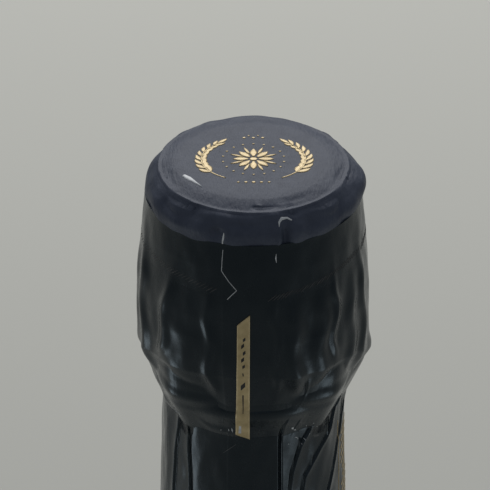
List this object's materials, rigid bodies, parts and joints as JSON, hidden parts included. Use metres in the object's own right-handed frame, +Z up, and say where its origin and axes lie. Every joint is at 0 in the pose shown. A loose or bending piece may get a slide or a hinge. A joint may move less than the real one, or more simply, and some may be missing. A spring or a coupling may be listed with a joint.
{
  "type": "champagne bottle",
  "caption": "Sparkling wine bottle with a punt, mushroom cork, twisted wire cage and plate, foil capsule with tear lines and a tear strip.",
  "frame": {"origin": "centre of the resting ring at the bottom of the bottle, on the surface that it stands on", "axes": "+Z up along the bottle's axis, -Y towards the front where the tear strip and the front label are, +X to the viewer's right"},
  "size_m": [0.088, 0.0884, 0.3261],
  "materials": {
    "green_glass": "smooth moulded dark green glass",
    "pressed_cork": "pressed cork granules",
    "natural_cork": "natural cork with fine pores",
    "plate_metal": "pressed tinplate with a gold lacquer",
    "steel_wire": "drawn bright steel wire",
    "blue_foil": "navy satin lacquer on embossed aluminium foil",
    "dark_foil": "blue-black gloss lacquer on aluminium foil with soft pleats",
    "gold_foil": "matt gold print on foil",
    "label_paper": "laid label paper"
  },
  "bodies": {
    "bottle": {"glass_bottle": "green_glass", "foil_neck_sleeve": "dark_foil", "front_label": "label_paper", "back_label": "label_paper"},
    "cork": {"cork_body": "pressed_cork", "cork_disc_upper": "natural_cork", "cork_disc_lower": "natural_cork"},
    "cage": {"cap_plate": "plate_metal", "cage_crown_wire": "steel_wire", "cage_leg_1": "steel_wire", "cage_leg_2": "steel_wire", "cage_leg_3": "steel_wire", "cage_leg_4": "steel_wire", "cage_belt_wire": "steel_wire"},
    "pull_ring": {"cage_pull_ring": "steel_wire"},
    "foil_hood": {"foil_top_disc": "blue_foil", "foil_collar": "dark_foil", "foil_band": "dark_foil"},
    "strip": {"tear_strip": "gold_foil"}
  },
  "joints": [
    {"name": "cork_pull", "type": "slide", "parent": "bottle", "child": "cork", "axis": [0, 0, 1], "range_m": [0, 0.06], "deforming": ["cage_leg_1", "cage_leg_2", "cage_leg_3", "cage_leg_4", "cage_belt_wire", "foil_band"]},
    {"name": "cage_lift", "type": "slide", "parent": "cork", "child": "cage", "axis": [0, 0, 1], "range_m": [0, 0.05], "deforming": ["cage_leg_1", "cage_leg_2", "cage_leg_3", "cage_leg_4", "cage_belt_wire"]},
    {"name": "pull_ring_fold", "type": "hinge", "parent": "cage", "child": "pull_ring", "pos_m": [0.018, 0, 0.2889], "axis": [0, 1, 0], "range_deg": [0, 100]},
    {"name": "foil_lift", "type": "slide", "parent": "cage", "child": "foil_hood", "axis": [0, 0, 1], "range_m": [0, 0.055], "deforming": ["foil_band"]},
    {"name": "tear_strip_peel", "type": "hinge", "parent": "bottle", "child": "strip", "pos_m": [-0.00144, -0.01587, 0.2831], "axis": [1, 0, 0], "range_deg": [0, 110]}
  ]
}
